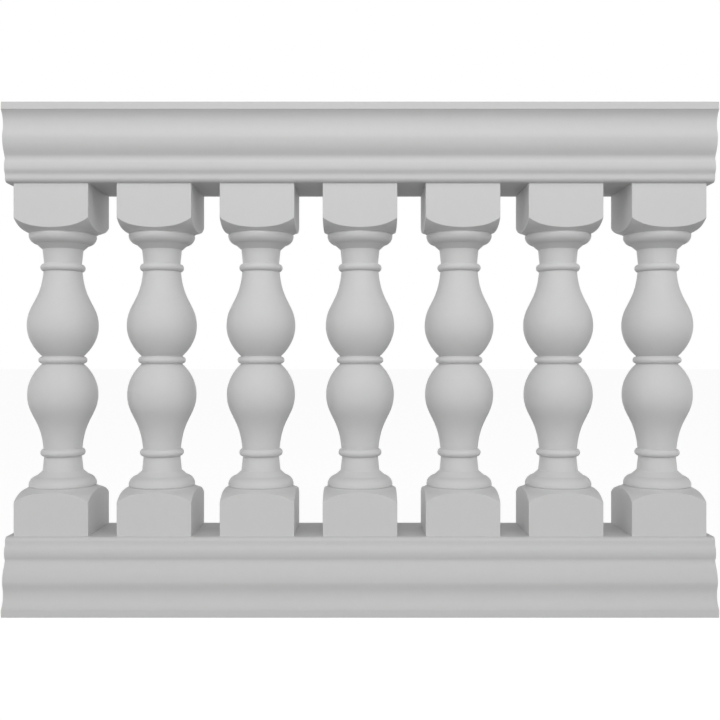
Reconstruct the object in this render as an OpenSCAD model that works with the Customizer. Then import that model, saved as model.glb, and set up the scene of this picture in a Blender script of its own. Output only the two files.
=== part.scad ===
// A section of fiberglass balustrade: two moulded rails, a row of turned
// balusters between them, and the tie rods that clamp each baluster.
// Millimetres, +Z up, X along the rails. The origin is at the middle of the
// bottom rail's underside, where the section stands.

/* [Section] */
// Length of both rails
rail_l = 1219.2; // [1170:0.1:1500]
// Number of balusters
baluster_count = 7; // [7]
// Distance between the centres of two neighbouring balusters
pitch = 177.8; // [135:0.1:180]
// Height of a baluster, from rail to rail
baluster_h = 609.6; // [508:0.1:760]

/* [Rails] */
// Height of each rail
rail_h = 133.35; // [125:0.05:180]
// Depth of each rail across its outer fillets
rail_w = 177.8; // [170:0.1:230]
// Thickness of the rail's laminate
rail_wall = 5; // [3:0.5:8]

/* [Balusters] */
// Width of the square block at each end of a baluster
block_w = 128.8; // [120:0.1:134]
// Largest radius of the upper belly
upper_belly_r = 61.5; // [52:0.1:63]
// Largest radius of the lower belly
lower_belly_r = 60.9; // [52:0.1:63]
// Radius of the middle ring
ring_r = 41.9; // [40:0.1:50]
// How far the middle ring sits below half height
ring_drop = 0.6; // [0:0.1:10]
// Radius of the bead between belly and neck
bead_r = 38.7; // [37:0.1:46]
// Radius of the neck where it leaves the bead
neck_r = 32.3; // [30:0.1:35]
// Radius of the torus next to the block
torus_r = 58.3; // [54:0.1:62]

/* [Fixings] */
// Diameter of the tie rods
rod_d = 10; // [6:0.5:14]
// How far a tie rod stands past its nut
rod_end = 6; // [2:0.5:10]
// Diameter of the washers
washer_d = 34; // [28:1:44]
// Thickness of the washers
washer_t = 3; // [2:0.5:4]
// Thickness of the nuts
nut_t = 8; // [5:0.5:12]
// Width of the nuts across their flats
nut_w = 17; // [16:0.5:24]

/* [Hidden] */
$fn = 48;

// Clearance on the diameter where a rod passes a rail, a baluster or a washer
rod_clearance = 1;
// Clearance on the diameter where a rod passes its nut
thread_clearance = 0.2;

// How far a cut runs past the face that it opens
cut_past = 1;

// Points along each curve of an outline, and steps round each kind of arc
curve_steps = 8;
round_steps = 6;
arris_steps = 3;
bead_steps = 8;
shoulder_steps = 10;

// Rail moulding. Heights are measured from the face that the balusters meet,
// and depths inwards from the outer fillet. A curve leaves one member along
// its trail and meets the next along its lead, as [outwards, upwards].
soffit_round = 7.6;
least_round = 0.5;
cove_in = 17.4;
cove_h = 10.7;
cove_trail = [0, 6.1];
roll_in = 13.2;
roll_h = 25.4;
roll_lead = [0, 7.6];
roll_trail = [0, 6.3];
quirk_in = 17;
quirk_h = 40.4;
quirk_lead = [-2, 3.5];
quirk_trail = [1, 6.5];
wave_in = 5.1;
wave_h = 74.2;
wave_lead = [1, 19.5];
wave_trail = [0, 7.1];
hollow_in = 9.1;
hollow_h = 96.5;
hollow_lead = [0, 10.2];
hollow_trail = [0, 12.7];
lip_in = 0.6;
lip_h = 119.9;
lip_lead = [4, 5];
fillet_h = 121.4;
arris = 1.6;

// Baluster turning, from its middle ring to either block. Heights are
// measured from the ring, and radii and curves are as in the moulding.
ring_round = 6.1;
// How far round from the widest point the ring and the beads are turned
bead_turn = 80;
pinch_r = 35.8;
pinch_h = 7.2;
pinch_trail = [10.4, 8.6];
belly_h = 60.8;
belly_lead = [0, 24.4];
belly_trail = [0, 37.8];
throat_r = 33.7;
throat_h = 155.5;
throat_lead = [-4.8, 52.5];
bead_round = 6.9;
bead_h = 165.1;
neck_h = 171.9;
collar_r = 34.9;
collar_h = 197.3;
splay_r = 45;
torus_h = 222;
torus_rise = 16.1;
torus_reach = 17;
shoulder_h = 280.1;
shoulder_in = 13.6;
shoulder_round = 52.4;

section_h = 2 * rail_h + baluster_h;
ring_h = rail_h + baluster_h / 2 - ring_drop;
shoulder_r = block_w / 2 - shoulder_in;

baluster_places = [for (i = [0 : baluster_count - 1]) (i - (baluster_count - 1) / 2) * pitch];
baluster_names = [for (i = [1 : baluster_count]) str("baluster_", i)];
rod_names = [for (i = [1 : baluster_count]) str("tie_rod_", i)];

// Points of a cubic curve from a to b. It leaves a along its trail and meets
// b along its lead. The last point is left to whatever follows.
function curve(a, trail, lead, b) = [
    for (i = [0 : curve_steps - 1])
        let (t = i / curve_steps, s = 1 - t)
            s * s * s * a + 3 * s * s * t * (a + trail) + 3 * s * t * t * (b - lead) + t * t * t * b
];

// Points of an elliptical arc about a centre, from one angle to another
function arc(centre, rx, ry, from, to, steps = round_steps) = [
    for (i = [0 : steps])
        let (angle = from + (to - from) * i / steps)
            centre + [rx * cos(angle), ry * sin(angle)]
];

// The front of the rail moulding, from the baluster face to the outer face.
// A positive inset gives the inside of the laminate, where the round along
// the soffit is tighter by as much.
function rail_front(inset) =
    let (
        half = rail_w / 2 - inset,
        edge_round = max(soffit_round - inset, least_round),
        cove = [half - cove_in, cove_h],
        roll = [half - roll_in, roll_h],
        quirk = [half - quirk_in, quirk_h],
        wave = [half - wave_in, wave_h],
        hollow = [half - hollow_in, hollow_h],
        lip = [half - lip_in, lip_h]
    )
    concat(
        arc([cove.x - edge_round, inset + edge_round], edge_round, edge_round, -90, 0),
        curve(cove, cove_trail, roll_lead, roll),
        curve(roll, roll_trail, quirk_lead, quirk),
        curve(quirk, quirk_trail, wave_lead, wave),
        curve(wave, wave_trail, hollow_lead, hollow),
        curve(hollow, hollow_trail, lip_lead, lip),
        [lip],
        arc([half - arris, fillet_h], arris, lip_h - fillet_h, 90, 0, arris_steps),
        arc([half - arris, rail_h - inset - arris], arris, arris, 0, 90, arris_steps)
    );

// The rail's section, standing on its outer face
module rail_section(inset) {
    front = [for (p = rail_front(inset)) [p.x, rail_h - p.y]];
    back = [for (i = [len(front) - 1 : -1 : 0]) [-front[i].x, front[i].y]];
    polygon(concat(front, back));
}

module rail_shell() {
    rotate([90, 0, 90])
        linear_extrude(rail_l, center = true)
            difference() {
                rail_section(0);
                rail_section(rail_wall);
            }
}

// A rail resting on its outer face, with a hole for each tie rod
module drilled_rail() {
    difference() {
        rail_shell();
        for (x = baluster_places)
            translate([x, 0, rail_h - rail_wall - cut_past])
                cylinder(h = rail_wall + 2 * cut_past, d = rod_d + rod_clearance);
    }
}

module bottom_rail() {
    color("gainsboro")
        drilled_rail();
}

module top_rail() {
    color("gainsboro")
        translate([0, 0, section_h])
            mirror([0, 0, 1])
                drilled_rail();
}

// One belly, from the ring to the neck, as [radius, height]
function turning(belly_r) =
    let (
        pinch = [pinch_r, pinch_h],
        belly = [belly_r, belly_h],
        throat = [throat_r, throat_h]
    )
    concat(
        curve(pinch, pinch_trail, belly_lead, belly),
        curve(belly, belly_trail, throat_lead, throat),
        [throat]
    );

// The torus from the end of the splay, and the turned shoulder that cuts the
// corners of the block
function block_seat() =
    let (
        torus_in = torus_r - torus_reach,
        torus_start = -acos((splay_r - torus_in) / torus_reach),
        shoulder_start = -acos((torus_r - shoulder_r) / shoulder_round)
    )
    concat(
        arc([torus_in, torus_h], torus_reach, torus_rise, torus_start, 0, bead_steps),
        arc([shoulder_r, shoulder_h], shoulder_round, shoulder_round, shoulder_start, 0, shoulder_steps)
    );

// Outline of the baluster on one side of its ring, with room for the block
function half_outline(belly_r, h) = concat(
    [[0, 0]],
    arc([ring_r - ring_round, 0], ring_round, ring_round, 0, bead_turn),
    turning(belly_r),
    arc([bead_r - bead_round, bead_h], bead_round, bead_round, -bead_turn, bead_turn, bead_steps),
    [[neck_r, neck_h], [collar_r, collar_h]],
    block_seat(),
    [[block_w, shoulder_h], [block_w, h], [0, h]]
);

// The baluster above its ring, up to a height h, with its bore for the rod
module upper_part(belly_r, h) {
    difference() {
        intersection() {
            rotate_extrude()
                polygon(half_outline(belly_r, h));
            translate([-block_w / 2, -block_w / 2, 0])
                cube([block_w, block_w, h]);
        }
        translate([0, 0, -cut_past])
            cylinder(h = h + 2 * cut_past, d = rod_d + rod_clearance);
    }
}

module baluster(x) {
    color("whitesmoke")
        translate([x, 0, ring_h]) {
            upper_part(upper_belly_r, baluster_h / 2 + ring_drop);
            mirror([0, 0, 1])
                upper_part(lower_belly_r, baluster_h / 2 - ring_drop);
        }
}

// Height of a rod's lower end, inside the bottom rail
rod_foot = rail_h - rail_wall - washer_t - nut_t - rod_end;

module tie_rod(x) {
    color("silver")
        translate([x, 0, rod_foot])
            cylinder(h = section_h - 2 * rod_foot, d = rod_d);
}

// The washers or the nuts of one rail, hung under its baluster face
module washers() {
    for (x = baluster_places)
        translate([x, 0, rail_h - rail_wall - washer_t])
            difference() {
                cylinder(h = washer_t, d = washer_d);
                translate([0, 0, -cut_past])
                    cylinder(h = washer_t + 2 * cut_past, d = rod_d + rod_clearance);
            }
}

module nuts() {
    for (x = baluster_places)
        translate([x, 0, rail_h - rail_wall - washer_t - nut_t])
            difference() {
                cylinder(h = nut_t, d = nut_w / cos(30), $fn = 6);
                translate([0, 0, -cut_past])
                    cylinder(h = nut_t + 2 * cut_past, d = rod_d + thread_clearance);
            }
}

// Whatever is given, turned over for the top rail
module in_top_rail() {
    translate([0, 0, section_h])
        mirror([0, 0, 1])
            children();
}

bottom_rail();
top_rail();
baluster(baluster_places[0]);  // baluster_1
baluster(baluster_places[1]);  // baluster_2
baluster(baluster_places[2]);  // baluster_3
baluster(baluster_places[3]);  // baluster_4
baluster(baluster_places[4]);  // baluster_5
baluster(baluster_places[5]);  // baluster_6
baluster(baluster_places[6]);  // baluster_7
tie_rod(baluster_places[0]);  // tie_rod_1
tie_rod(baluster_places[1]);  // tie_rod_2
tie_rod(baluster_places[2]);  // tie_rod_3
tie_rod(baluster_places[3]);  // tie_rod_4
tie_rod(baluster_places[4]);  // tie_rod_5
tie_rod(baluster_places[5]);  // tie_rod_6
tie_rod(baluster_places[6]);  // tie_rod_7
color("silver") washers();  // lower_washers
color("silver") nuts();  // lower_nuts
color("silver") in_top_rail() washers();  // upper_washers
color("silver") in_top_rail() nuts();  // upper_nuts
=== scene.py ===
import math
from collections import namedtuple

import bpy
import numpy as np
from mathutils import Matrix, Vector, noise


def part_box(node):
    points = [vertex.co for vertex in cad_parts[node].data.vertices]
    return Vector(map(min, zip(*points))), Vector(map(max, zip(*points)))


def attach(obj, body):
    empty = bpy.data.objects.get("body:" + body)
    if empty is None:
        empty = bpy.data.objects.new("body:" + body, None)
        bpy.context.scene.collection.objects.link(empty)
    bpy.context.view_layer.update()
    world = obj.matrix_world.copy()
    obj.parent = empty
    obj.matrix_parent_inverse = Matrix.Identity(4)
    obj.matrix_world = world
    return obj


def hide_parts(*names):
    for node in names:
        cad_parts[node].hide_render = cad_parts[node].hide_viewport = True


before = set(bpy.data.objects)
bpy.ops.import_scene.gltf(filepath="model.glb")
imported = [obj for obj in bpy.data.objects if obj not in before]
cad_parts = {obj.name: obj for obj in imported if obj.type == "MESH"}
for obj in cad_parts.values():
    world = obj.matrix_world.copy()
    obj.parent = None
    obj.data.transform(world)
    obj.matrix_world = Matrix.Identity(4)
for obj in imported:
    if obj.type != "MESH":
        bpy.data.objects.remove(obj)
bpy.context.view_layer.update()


# ------------------------------------------------------------------- sizes

# Places in the frame are in metres. Outlines are drawn in mm.
MM = 0.001
BODY = "root"
rail_low, rail_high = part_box("bottom_rail")
top_low, top_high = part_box("top_rail")
block_low, block_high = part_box("baluster_1")
rod_low, rod_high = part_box("tie_rod_1")
baluster_names = sorted(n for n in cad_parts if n.startswith("baluster_"))
rod_names = sorted(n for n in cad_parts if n.startswith("tie_rod_"))
rail_length = rail_high.x - rail_low.x
rail_height = rail_high.z - rail_low.z
half_height = (block_high.z - block_low.z) / 2
middle_height = (block_high.z + block_low.z) / 2
half_depth = (rail_high.y - rail_low.y) / 2 / MM
half_block = (block_high.x - block_low.x) / 2 / MM
rod_radius = (rod_high.x - rod_low.x) / 2 / MM

# The rail's wall, and the gelcoat on its outside
RAIL_WALL = 5.0
GELCOAT_SKIN = 0.7

# The line of the rail's front turns at these places: how far each lies in
# from the rail's depth, its height from the face that the balusters meet, how
# the curve comes in and how it leaves, and the steps to the next.
Turn = namedtuple("Turn", "inward height lead trail steps")
COVE = Turn(17.4, 10.7, None, (0, 6.1), 10)
ROLL = Turn(13.2, 25.4, (0, 7.6), (0, 6.3), 12)
QUIRK = Turn(17.0, 40.4, (-2, 3.5), (1, 6.5), 20)
WAVE = Turn(5.1, 74.2, (1, 19.5), (0, 7.1), 14)
HOLLOW = Turn(9.1, 96.5, (0, 10.2), (0, 12.7), 16)
LIP = Turn(0.6, 119.9, (4, 5), None, 0)
FILLET_H = 121.4
SOFFIT_ROUND = 7.6
RAIL_ARRIS = 1.6
# Points left out on each side of the quirk, which keeps its line soft
QUIRK_SOFTNESS = 4

# The baluster's turning, measured from its middle ring
RING_DROP = 0.6
UPPER_BELLY_R, LOWER_BELLY_R, BELLY_H = 61.5, 60.9, 60.8
BELLY_LEAD, BELLY_TRAIL = [0, 24.4], [0, 37.8]
RING_R, RING_ROUND = 41.9, 6.1
PINCH, PINCH_TRAIL = [35.8, 7.2], [10.4, 8.6]
THROAT, THROAT_LEAD = [33.7, 155.5], [-4.8, 52.5]
BEAD_R, BEAD_ROUND, BEAD_H = 38.7, 6.9, 165.1
BEAD_TURN = 80
NECK = [32.3, 171.9]
COLLAR = [34.9, 197.3]
SPLAY_R = 45.0
TORUS_R, TORUS_H = 58.3, 222.0
TORUS_REACH, TORUS_RISE = 17.0, 16.1
TORUS_EDGE, TORUS_CURL = 3.4, 60
SHOULDER_IN, SHOULDER_H, SHOULDER_ROUND = 13.6, 280.1, 52.4
SHOULDER_DIP, DIP_R = 3.05, 66.0
BLOCK_ARRIS = 1.3

# The fixings
ROD_GAP = 0.5
THREAD_GAP = 0.1
NUT_FLATS = 17.0
THREAD_PITCH, THREAD_DEPTH, THREAD_LENGTH = 1.5, 0.92, 34.0


# ---------------------------------------------------------------- outlines

def curve(a, trail, lead, b, steps):
    """Points of a cubic curve from a to b, without the last. It leaves a
    along its trail and meets b along its lead."""
    a, trail, lead, b = (np.array(p, float) for p in (a, trail, lead, b))
    t = np.arange(steps)[:, None] / steps
    s = 1 - t
    return s ** 3 * a + 3 * s * s * t * (a + trail) + 3 * s * t * t * (b - lead) + t ** 3 * b


def arc(centre, across, up, start, stop, steps):
    """Points of an elliptical arc, both ends included. Angles in degrees."""
    angles = np.radians(np.linspace(start, stop, steps + 1))
    return np.array(centre) + np.stack([across * np.cos(angles), up * np.sin(angles)], 1)


def rail_front(inset):
    """The front of the rail moulding: depth from the rail's middle, and
    height from the face that the balusters meet. An inset gives its inside."""
    half = half_depth - inset
    top = rail_height / MM - inset
    edge_round = SOFFIT_ROUND - inset
    edge = half - COVE.inward - edge_round

    def between(near, far):
        a, b = ([half - turn.inward, turn.height] for turn in (near, far))
        return curve(a, near.trail, far.lead, b, near.steps)

    return np.concatenate([
        arc([edge, inset + edge_round], edge_round, edge_round, -90, 0, 10),
        between(COVE, ROLL),
        between(ROLL, QUIRK)[:-QUIRK_SOFTNESS],
        np.delete(between(QUIRK, WAVE), range(1, QUIRK_SOFTNESS + 1), 0),
        between(WAVE, HOLLOW),
        between(HOLLOW, LIP),
        [[half - LIP.inward, LIP.height]],
        arc([half - RAIL_ARRIS, FILLET_H], RAIL_ARRIS, LIP.height - FILLET_H, 90, 0, 4),
        arc([half - RAIL_ARRIS, top - RAIL_ARRIS], RAIL_ARRIS, RAIL_ARRIS, 0, 90, 6),
    ])


def rail_loop(inset):
    """The rail's whole section as a closed loop, in metres."""
    front = rail_front(inset) * MM
    mirror = [-1, 1]
    flats = 12
    outer_flat = np.linspace(front[-1], front[-1] * mirror, flats + 1)[1:-1]
    soffit_flat = np.linspace(front[0] * mirror, front[0], flats + 1)[1:-1]
    return np.concatenate([front, outer_flat, front[::-1] * mirror, soffit_flat])


def groove_radius():
    """Where the torus, rounded back, meets the block's shoulder."""
    return TORUS_R - TORUS_EDGE * (1 - math.cos(math.radians(TORUS_CURL)))


def turned_outline(belly_r):
    """One half of the turning, from the middle of the ring to the groove."""
    belly = [belly_r, BELLY_H]
    torus_in = TORUS_R - TORUS_REACH
    torus_start = -math.degrees(math.acos((SPLAY_R - torus_in) / TORUS_REACH))
    return np.concatenate([
        arc([RING_R - RING_ROUND, 0], RING_ROUND, RING_ROUND, 0, BEAD_TURN, 8),
        curve(PINCH, PINCH_TRAIL, BELLY_LEAD, belly, 16),
        curve(belly, BELLY_TRAIL, THROAT_LEAD, THROAT, 24),
        [THROAT],
        arc([BEAD_R - BEAD_ROUND, BEAD_H], BEAD_ROUND, BEAD_ROUND, -BEAD_TURN, BEAD_TURN, 14),
        np.linspace(NECK, COLLAR, 5),
        arc([torus_in, TORUS_H], TORUS_REACH, TORUS_RISE, torus_start, 0, 12),
        arc([TORUS_R - TORUS_EDGE, TORUS_H], TORUS_EDGE, TORUS_EDGE, 0, TORUS_CURL, 6)[1:],
    ])


def square_reach(angle):
    """Distance from the axis to the block's arrised square, at an angle."""
    folded = math.radians(abs((math.degrees(angle) + 45) % 90 - 45))
    c, s = math.cos(folded), math.sin(folded)
    flat = half_block - BLOCK_ARRIS
    if half_block * s / c <= flat:
        return half_block / c
    along = flat * (c + s)
    return along + math.sqrt(along * along - 2 * flat * flat + BLOCK_ARRIS * BLOCK_ARRIS)


def shoulder_points(start, stop, steps):
    """The block's shoulder, which dips to the groove beside the torus."""
    centre = [half_block - SHOULDER_IN, SHOULDER_H]
    points = arc(centre, SHOULDER_ROUND, SHOULDER_ROUND, start, stop, steps)
    groove_r = groove_radius()
    share = np.clip((DIP_R - points[:, 0]) / (DIP_R - groove_r), 0, 1)
    points[:, 1] -= SHOULDER_DIP * share ** 1.5
    return points


def shoulder_angle(radius):
    """The angle on the shoulder's arc at a distance from the axis."""
    return -math.degrees(math.acos((radius - half_block + SHOULDER_IN) / SHOULDER_ROUND))


def block_outline(angle, top):
    """The block from the groove to its end, at one angle: the shoulder, the
    arris, the face and the end in to the rod's hole."""
    stop = shoulder_angle(square_reach(angle))
    rounding = math.degrees(BLOCK_ARRIS / SHOULDER_ROUND)
    shoulder = shoulder_points(shoulder_angle(groove_radius()), stop - rounding, 14)
    edge = shoulder_points(stop, stop, 0)[0]
    face_start = edge + [0, BLOCK_ARRIS]
    soft = curve(shoulder[-1], edge - shoulder[-1], face_start - edge, face_start, 5)[1:]
    face = np.linspace(face_start, [edge[0], top], 6)
    return np.concatenate([shoulder, soft, face, [[rod_radius + ROD_GAP, top]]])


# ------------------------------------------------------------------ meshes

def skin(grid):
    """Faces of a grid of points that closes on itself both ways."""
    rows, columns = grid.shape[:2]
    faces = []
    for r in range(rows):
        up = (r + 1) % rows
        for c in range(columns):
            n = (c + 1) % columns
            faces.append((r * columns + c, r * columns + n, up * columns + n, up * columns + c))
    return faces


def place_section(path, angle, x, z):
    """A section of (radius, height) points in mm, stood at an angle round
    the upright axis at x."""
    radius, height = np.array(path).T * MM
    return np.stack([radius * math.cos(angle) + x, radius * math.sin(angle), height + z], 1)


def make_piece(name, points, faces, node, slot, finishes, finish_of_face=None, crease=32):
    """A shown piece that rides on the frame and stands for one CAD node."""
    mesh = bpy.data.meshes.new(name)
    mesh.from_pydata(points.tolist(), [], faces)
    for finish in finishes:
        mesh.materials.append(finish)
    if finish_of_face is not None:
        mesh.polygons.foreach_set("material_index", finish_of_face)
    mesh.polygons.foreach_set("use_smooth", [True] * len(faces))
    mesh.set_sharp_from_angle(angle=math.radians(crease))
    mesh.validate()
    mesh.update()
    piece = bpy.data.objects.new(name, mesh)
    bpy.context.scene.collection.objects.link(piece)
    even = piece.modifiers.new("even_normals", "WEIGHTED_NORMAL")
    even.keep_sharp = True
    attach(piece, BODY)
    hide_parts(node)


def turning_angles():
    """Angles round a baluster, closer together at the block's corners."""
    step, clearance = 4.5, 3.5
    even = np.arange(0, 360, step)
    near = np.array([-3, -1.6, -0.9, -0.45, 0, 0.45, 0.9, 1.6, 3])
    corners = [corner + near for corner in (45, 135, 225, 315)]
    clear = even[np.abs(even % 90 - 45) > clearance]
    return np.radians(np.sort(np.concatenate([clear, *corners])))


def make_baluster(node, x):
    """A cast baluster on its tie rod's axis, with its ring a little low."""
    upper = turned_outline(UPPER_BELLY_R)
    lower = turned_outline(LOWER_BELLY_R)
    half = half_height / MM
    columns = []
    for angle in turning_angles():
        up = np.concatenate([upper, block_outline(angle, half + RING_DROP)[1:]])
        down = np.concatenate([lower, block_outline(angle, half - RING_DROP)[1:]])
        path = np.concatenate([down[:0:-1] * [1, -1], up])
        columns.append(place_section(path, angle, x, middle_height - RING_DROP * MM))
    grid = np.stack(columns, 1)
    points, faces = grid.reshape(-1, 3), skin(grid)
    # The balusters wear the copy of the gelcoat that is painted lighter, as painted light for
    # less shade.
    make_piece(node + "_cast", points, faces, node, "gelcoat", [lighter_painted_gelcoat])


def turned_grid(section, sides):
    """Points and faces of a closed section turned round an axis."""
    grid = np.stack([section(2 * math.pi * i / sides) for i in range(sides)], 1)
    return grid.reshape(-1, 3), skin(grid)


def hand_laid(row, x, middle):
    """A row of the rail's inside, uneven as the laminate was laid. It runs
    out evenly at the rail's ends."""
    lay_depth, even_end = 0.35 * MM, 6 * MM
    coarse, fine, fine_share = 160, 420, 0.6
    depth = lay_depth * min(1.0, (rail_length / 2 - abs(x)) / even_end)
    for point in row:
        spot = Vector(point)
        lay = noise.noise(spot * coarse) + fine_share * noise.noise(spot * fine)
        inward = np.array([x, 0, middle]) - point
        point += inward / np.linalg.norm(inward) * depth * (lay + 0.5)
    return row


def make_rail(name, node, base, rise):
    """A hollow rail: smooth gelcoat outside, rough laminate inside, and the
    cut edges that join them. base is the height of the baluster face."""
    outer = rail_loop(0)
    inner = rail_loop(RAIL_WALL)
    under = outer + (inner - outer) * GELCOAT_SKIN / RAIL_WALL
    half = rail_length / 2
    middle = base + rise * rail_height / 2

    def station(loop, x):
        return np.stack([np.full(len(loop), x), loop[:, 0], base + rise * loop[:, 1]], 1)

    smooth = [station(outer, x) for x in np.linspace(-half, half, 25)]
    rough = [hand_laid(station(inner, x), x, middle) for x in np.linspace(half, -half, 201)]
    grid = np.stack([*smooth, station(under, half), *rough, station(under, -half)])
    faces = skin(grid)
    if rise > 0:
        faces = [face[::-1] for face in faces]
    row_of_face = np.arange(len(faces)) // len(outer)
    is_laminate = (row_of_face >= len(smooth)) & (row_of_face < len(grid) - 1)
    make_piece(
        name, grid.reshape(-1, 3), faces, node, "gelcoat", [rail_gelcoat, laminate],
        finish_of_face=is_laminate.astype(np.int32), crease=60,
    )


def washer_at(x, z, thick, outer, bore):
    """A punched washer: rolled edge on one side, sharp on the other."""
    burr, roll, bevel = 0.3, 0.9, 0.5
    path = [
        [bore, 0],
        [outer - burr, 0],
        [outer, burr],
        [outer, thick - roll],
        [outer - burr, thick - burr],
        [outer - roll, thick],
        [bore + bevel, thick],
        [bore, thick - 0.8 * bevel],
    ]
    return turned_grid(lambda angle: place_section(path, angle, x, z), 48)


def nut_at(x, z, thick, flats, bore):
    """A hexagon nut with its corners chamfered at both faces."""
    crown, bevel = 0.97, 0.6
    face = flats / 2 * crown

    def section(angle):
        folded = math.radians((math.degrees(angle) + 30) % 60 - 30)
        reach = flats / 2 / math.cos(folded)
        cut = max(0.0, reach - face) * math.tan(math.radians(30))
        path = [
            [bore + bevel, 0],
            [face, 0],
            [reach, cut],
            [reach, thick / 2],
            [reach, thick - cut],
            [face, thick],
            [bore + bevel, thick],
            [bore, thick - bevel],
            [bore, bevel],
        ]
        return place_section(path, angle, x, z)

    return turned_grid(section, 60)


def thread_heights(start, stop):
    """Heights from start to stop, a few to each turn of the thread."""
    rows_per_turn = 6
    rows = round((stop - start) / THREAD_PITCH * rows_per_turn)
    return np.linspace(start, stop, rows + 1)


def thread_cut(height, angle):
    """How deep the thread is cut, with flat crests and roots."""
    phase = (height / THREAD_PITCH - angle / (2 * math.pi)) % 1
    groove = 1 - abs(2 * phase - 1)
    return THREAD_DEPTH * min(1.0, max(0.0, 1.2 * groove - 0.1))


def make_rod(name, node, x):
    """A tie rod, threaded where its ends stand in the rails."""
    chamfer, run_in, core = 1.2, 1.0, 0.02
    low, high = rod_low.z / MM, rod_high.z / MM
    heights = np.concatenate([
        thread_heights(low + run_in, low + THREAD_LENGTH),
        thread_heights(high - THREAD_LENGTH, high - run_in),
    ])

    def section(angle):
        path = [[core, low], [rod_radius - chamfer, low]]
        path += [[rod_radius - thread_cut(h, angle), h] for h in heights]
        path += [[rod_radius - chamfer, high], [core, high]]
        return place_section(path, angle, x, 0)

    make_piece(name, *turned_grid(section, 28), node, "zinc_steel", [zinc], crease=50)


def join(solids):
    """Several (points, faces) as one."""
    points, faces, start = [], [], 0
    for solid, solid_faces in solids:
        points.append(solid)
        faces += [tuple(i + start for i in face) for face in solid_faces]
        start += len(solid)
    return np.concatenate(points), faces


# ----------------------------------------------------------------- shading

class Value:
    """A shader socket that takes part in sums: each sum adds a Math node."""

    def __init__(self, shading, socket):
        self.shading = shading
        self.socket = socket

    def maths(self, operation, *others):
        inputs = dict(enumerate((self,) + others))
        return self.shading.node("ShaderNodeMath", {"operation": operation}, inputs)

    def __add__(self, other):
        return self.maths("ADD", other)

    def __sub__(self, other):
        return self.maths("SUBTRACT", other)

    def __mul__(self, other):
        return self.maths("MULTIPLY", other)

    def __gt__(self, other):
        return self.maths("GREATER_THAN", other)

    def __rsub__(self, other):
        return self * -1 + other

    __radd__ = __add__
    __rmul__ = __mul__


class Shading:
    """The nodes of one material or world."""

    def __init__(self, owner, last):
        owner.use_nodes = True
        self.tree = owner.node_tree
        self.last = self.tree.nodes[last]

    def node(self, kind, settings, inputs, output=0):
        """Adds a node: its settings first, then its sockets' values or links."""
        node = self.tree.nodes.new(kind)
        for key, setting in settings.items():
            if key == "stops":
                self.set_stops(node.color_ramp, setting)
            else:
                setattr(node, key, setting)
        self.feed(node, inputs)
        return Value(self, self.find(node.outputs, output))

    def find(self, sockets, key):
        if isinstance(key, int):
            return sockets[key]
        return [s for s in sockets if key in (s.identifier, s.name)][0]

    def feed(self, node, inputs):
        """Links the inputs that vary to a node, and sets the others."""
        for key, given in inputs.items():
            socket = self.find(node.inputs, key)
            if isinstance(given, Value):
                self.tree.links.new(given.socket, socket)
            else:
                socket.default_value = given

    def set_stops(self, ramp, stops):
        """Gives a ramp its (place, shade) stops, held level between them."""
        ramp.interpolation = "CONSTANT"
        while len(ramp.elements) < len(stops):
            ramp.elements.new(1.0)
        for element, (place, shade) in zip(ramp.elements, stops):
            element.position = place
            element.color = (shade, shade, shade, 1)

    def mix(self, one, other, share):
        """A colour between two, by a value."""
        inputs = {"Factor_Float": share, "A_Color": one, "B_Color": other}
        return self.node("ShaderNodeMix", {"data_type": "RGBA"}, inputs, "Result_Color")


class Finish(Shading):
    """A material whose look is worked out over the piece, in metres."""

    def __init__(self, name):
        self.material = bpy.data.materials.new(name)
        super().__init__(self.material, "Principled BSDF")

    def cloud(self, size, detail=2.0, stretch=(1, 1, 1), turn=(0, 0, 0)):
        """Soft noise with features of a size, about 0.5."""
        spot = self.node("ShaderNodeTexCoord", {}, {}, "Object")
        laid = {"Vector": spot, "Scale": stretch, "Rotation": turn}
        inputs = {
            "Vector": self.node("ShaderNodeMapping", {}, laid),
            "Scale": 1 / size,
            "Detail": detail,
            "Roughness": 0.5,
        }
        return self.node("ShaderNodeTexNoise", {}, inputs, "Fac")

    def shade(self, dark, light, share):
        return self.mix((*dark, 1), (*light, 1), share)

    def bump(self, height, depth, under=None):
        """A normal from a height of 0 to 1, which stands for a depth."""
        inputs = {"Height": height, "Distance": depth, "Strength": 1.0}
        if under is not None:
            inputs["Normal"] = under
        return self.node("ShaderNodeBump", {}, inputs, "Normal")

    def wear(self, inputs):
        """Sets the surface, and gives back its material."""
        self.feed(self.last, inputs)
        return self.material


def make_gelcoat(name, shade):
    """Matt light-grey gelcoat: faint orange peel and long flow marks."""
    finish = Finish(name)
    variation = 0.02
    flow = finish.cloud(0.11, 3.0, stretch=(1, 1, 0.6))
    mottle = finish.cloud(0.012)
    peel = finish.cloud(0.0022, 1.0)
    tone = flow * 0.6 + mottle * 0.4
    return finish.wear({
        "Base Color": finish.shade([shade - variation] * 3, [shade + variation] * 3, tone),
        "Roughness": 0.5 + 0.12 * flow - 0.05 * mottle,
        "Normal": finish.bump(peel, 0.00006, finish.bump(flow, 0.0004)),
        "Specular IOR Level": 0.3,
    })


def make_laminate():
    """The inside of a moulding: chopped strands under resin."""
    finish = Finish("strand_laminate")
    lays = [
        finish.cloud(0.0016, 1.0, stretch=(0.06, 1, 1), turn=(turn, turn * 0.7, turn)) > 0.58
        for turn in (0.3, 1.1, 1.9, 2.6)
    ]
    strands = lays[0]
    for lay in lays[1:]:
        strands = strands.maths("MAXIMUM", lay)
    resin = finish.cloud(0.02, 3.0)
    share = strands * 0.55 + resin * 0.45
    return finish.wear({
        "Base Color": finish.shade((0.42, 0.41, 0.35), (0.66, 0.65, 0.58), share),
        "Roughness": 0.28 + 0.3 * resin,
        "Normal": finish.bump(strands * 0.5 + resin, 0.0006),
    })


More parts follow.
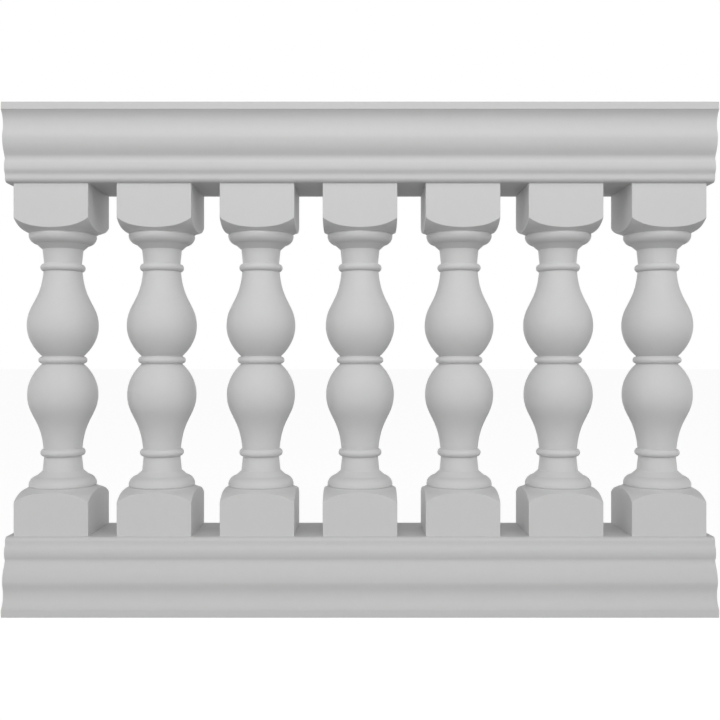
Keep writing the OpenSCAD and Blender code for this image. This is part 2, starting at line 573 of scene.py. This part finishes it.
def make_zinc():
    """Bright zinc plating, a little cloudy."""
    finish = Finish("zinc_plate")
    bloom = finish.cloud(0.004, 4.0)
    return finish.wear({
        "Base Color": finish.shade((0.55, 0.55, 0.53), (0.74, 0.74, 0.73), bloom),
        "Roughness": 0.28 + 0.25 * bloom,
        "Metallic": 1.0,
        "Normal": finish.bump(finish.cloud(0.0005, 1.0), 0.00002),
    })


rail_gelcoat = make_gelcoat("light_grey_gelcoat", 0.613)
# The balusters' copy of the gelcoat is painted lighter than the rails' (0.643 against 0.613):
# painted light, standing in for less shade on the balusters.
lighter_painted_gelcoat = make_gelcoat("light_grey_gelcoat_painted_lighter", 0.643)
laminate = make_laminate()
zinc = make_zinc()


# ------------------------------------------------------------------ pieces

for name in baluster_names:
    low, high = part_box(name)
    make_baluster(name, (low.x + high.x) / 2)

make_rail("lower_moulding", "bottom_rail", rail_high.z, -1)
make_rail("upper_moulding", "top_rail", top_low.z, 1)

rod_places = []
for name in rod_names:
    low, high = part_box(name)
    rod_places.append((low.x + high.x) / 2)
    make_rod(name.replace("tie_rod", "threaded_rod"), name, rod_places[-1])

for place in ("lower", "upper"):
    low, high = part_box(place + "_washers")
    thick = (high.z - low.z) / MM
    outer = (high.y - low.y) / 2 / MM
    washers = [washer_at(x, low.z, thick, outer, rod_radius + ROD_GAP) for x in rod_places]
    make_piece(place + "_plate_washers", *join(washers), place + "_washers", "zinc_steel", [zinc])
    low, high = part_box(place + "_nuts")
    thick = (high.z - low.z) / MM
    nuts = [nut_at(x, low.z, thick, NUT_FLATS, rod_radius + THREAD_GAP) for x in rod_places]
    make_piece(place + "_hex_nuts", *join(nuts), place + "_nuts", "zinc_steel", [zinc], crease=20)


# ------------------------------------------------------- floor, light, view

# How bright the surroundings are from each height upwards, in degrees
SKY = [(-90, 0.31), (-10, 1.42), (10, 0.385), (30, 0.44), (50, 0.0)]


def make_floor():
    """A wide pale floor that takes a soft shadow but throws no light back."""
    side = 40
    mesh = bpy.data.meshes.new("floor")
    corners = [(-side, -side, 0), (side, -side, 0), (side, side, 0), (-side, side, 0)]
    mesh.from_pydata(corners, [], [(0, 1, 2, 3)])
    floor = bpy.data.objects.new("floor", mesh)
    bpy.context.scene.collection.objects.link(floor)
    floor.visible_diffuse = False
    floor.visible_glossy = False
    mesh.materials.append(Finish("pale_floor").wear({
        "Base Color": (0.16, 0.16, 0.16, 1),
        "Roughness": 0.9,
        "Specular IOR Level": 0.0,
        "Emission Color": (1, 1, 1, 1),
        "Emission Strength": 0.92,
    }))


def make_lamp(name, place, width, height, watts):
    """A soft box aimed at the middle of the balustrade."""
    lamp = bpy.data.lights.new(name, "AREA")
    lamp.shape = "RECTANGLE"
    lamp.size, lamp.size_y, lamp.energy = width, height, watts
    holder = bpy.data.objects.new(name, lamp)
    holder.location = place
    aim = Vector((0, 0, middle_height)) - Vector(place)
    holder.rotation_euler = aim.to_track_quat("-Z", "Y").to_euler()
    bpy.context.scene.collection.objects.link(holder)


def make_world():
    """Light from all round, strongest near the horizon; a white backdrop."""
    world = bpy.data.worlds.new("studio")
    shading = Shading(world, "Background")
    stops = [((math.sin(math.radians(rise)) + 1) / 2, shade) for rise, shade in SKY]
    direction = shading.node("ShaderNodeTexCoord", {}, {}, "Generated")
    upward = shading.node("ShaderNodeSeparateXYZ", {}, {"Vector": direction}, "Z")
    glow = shading.node("ShaderNodeValToRGB", {"stops": stops}, {"Fac": (upward + 1) * 0.5})
    seen = shading.node("ShaderNodeLightPath", {}, {}, "Is Camera Ray")
    shading.feed(shading.last, {"Color": shading.mix(glow, (1, 1, 1, 1), seen), "Strength": 1.0})
    bpy.context.scene.world = world


def make_camera():
    """In front of the section's middle, level, with a normal lens."""
    distance, drop = 1.594, 0.0006
    camera = bpy.data.cameras.new("camera")
    camera.sensor_width = 36
    camera.lens = 44.35
    holder = bpy.data.objects.new("camera", camera)
    holder.location = (0, -distance, middle_height - drop)
    holder.rotation_euler = (math.radians(90), 0, 0)
    bpy.context.scene.collection.objects.link(holder)
    bpy.context.scene.camera = holder


make_floor()
make_world()
make_lamp("low_softbox", (0, -2.6, 1.8), 0.9, 0.9, 5.9)
make_lamp("high_softbox", (0, -2.6, 2.6), 5.2, 0.9, 34.6)
make_lamp("near_softbox", (0, -1.2, 2.2), 3.4, 0.9, 8.2)
make_camera()
bpy.context.scene.view_settings.view_transform = "Standard"
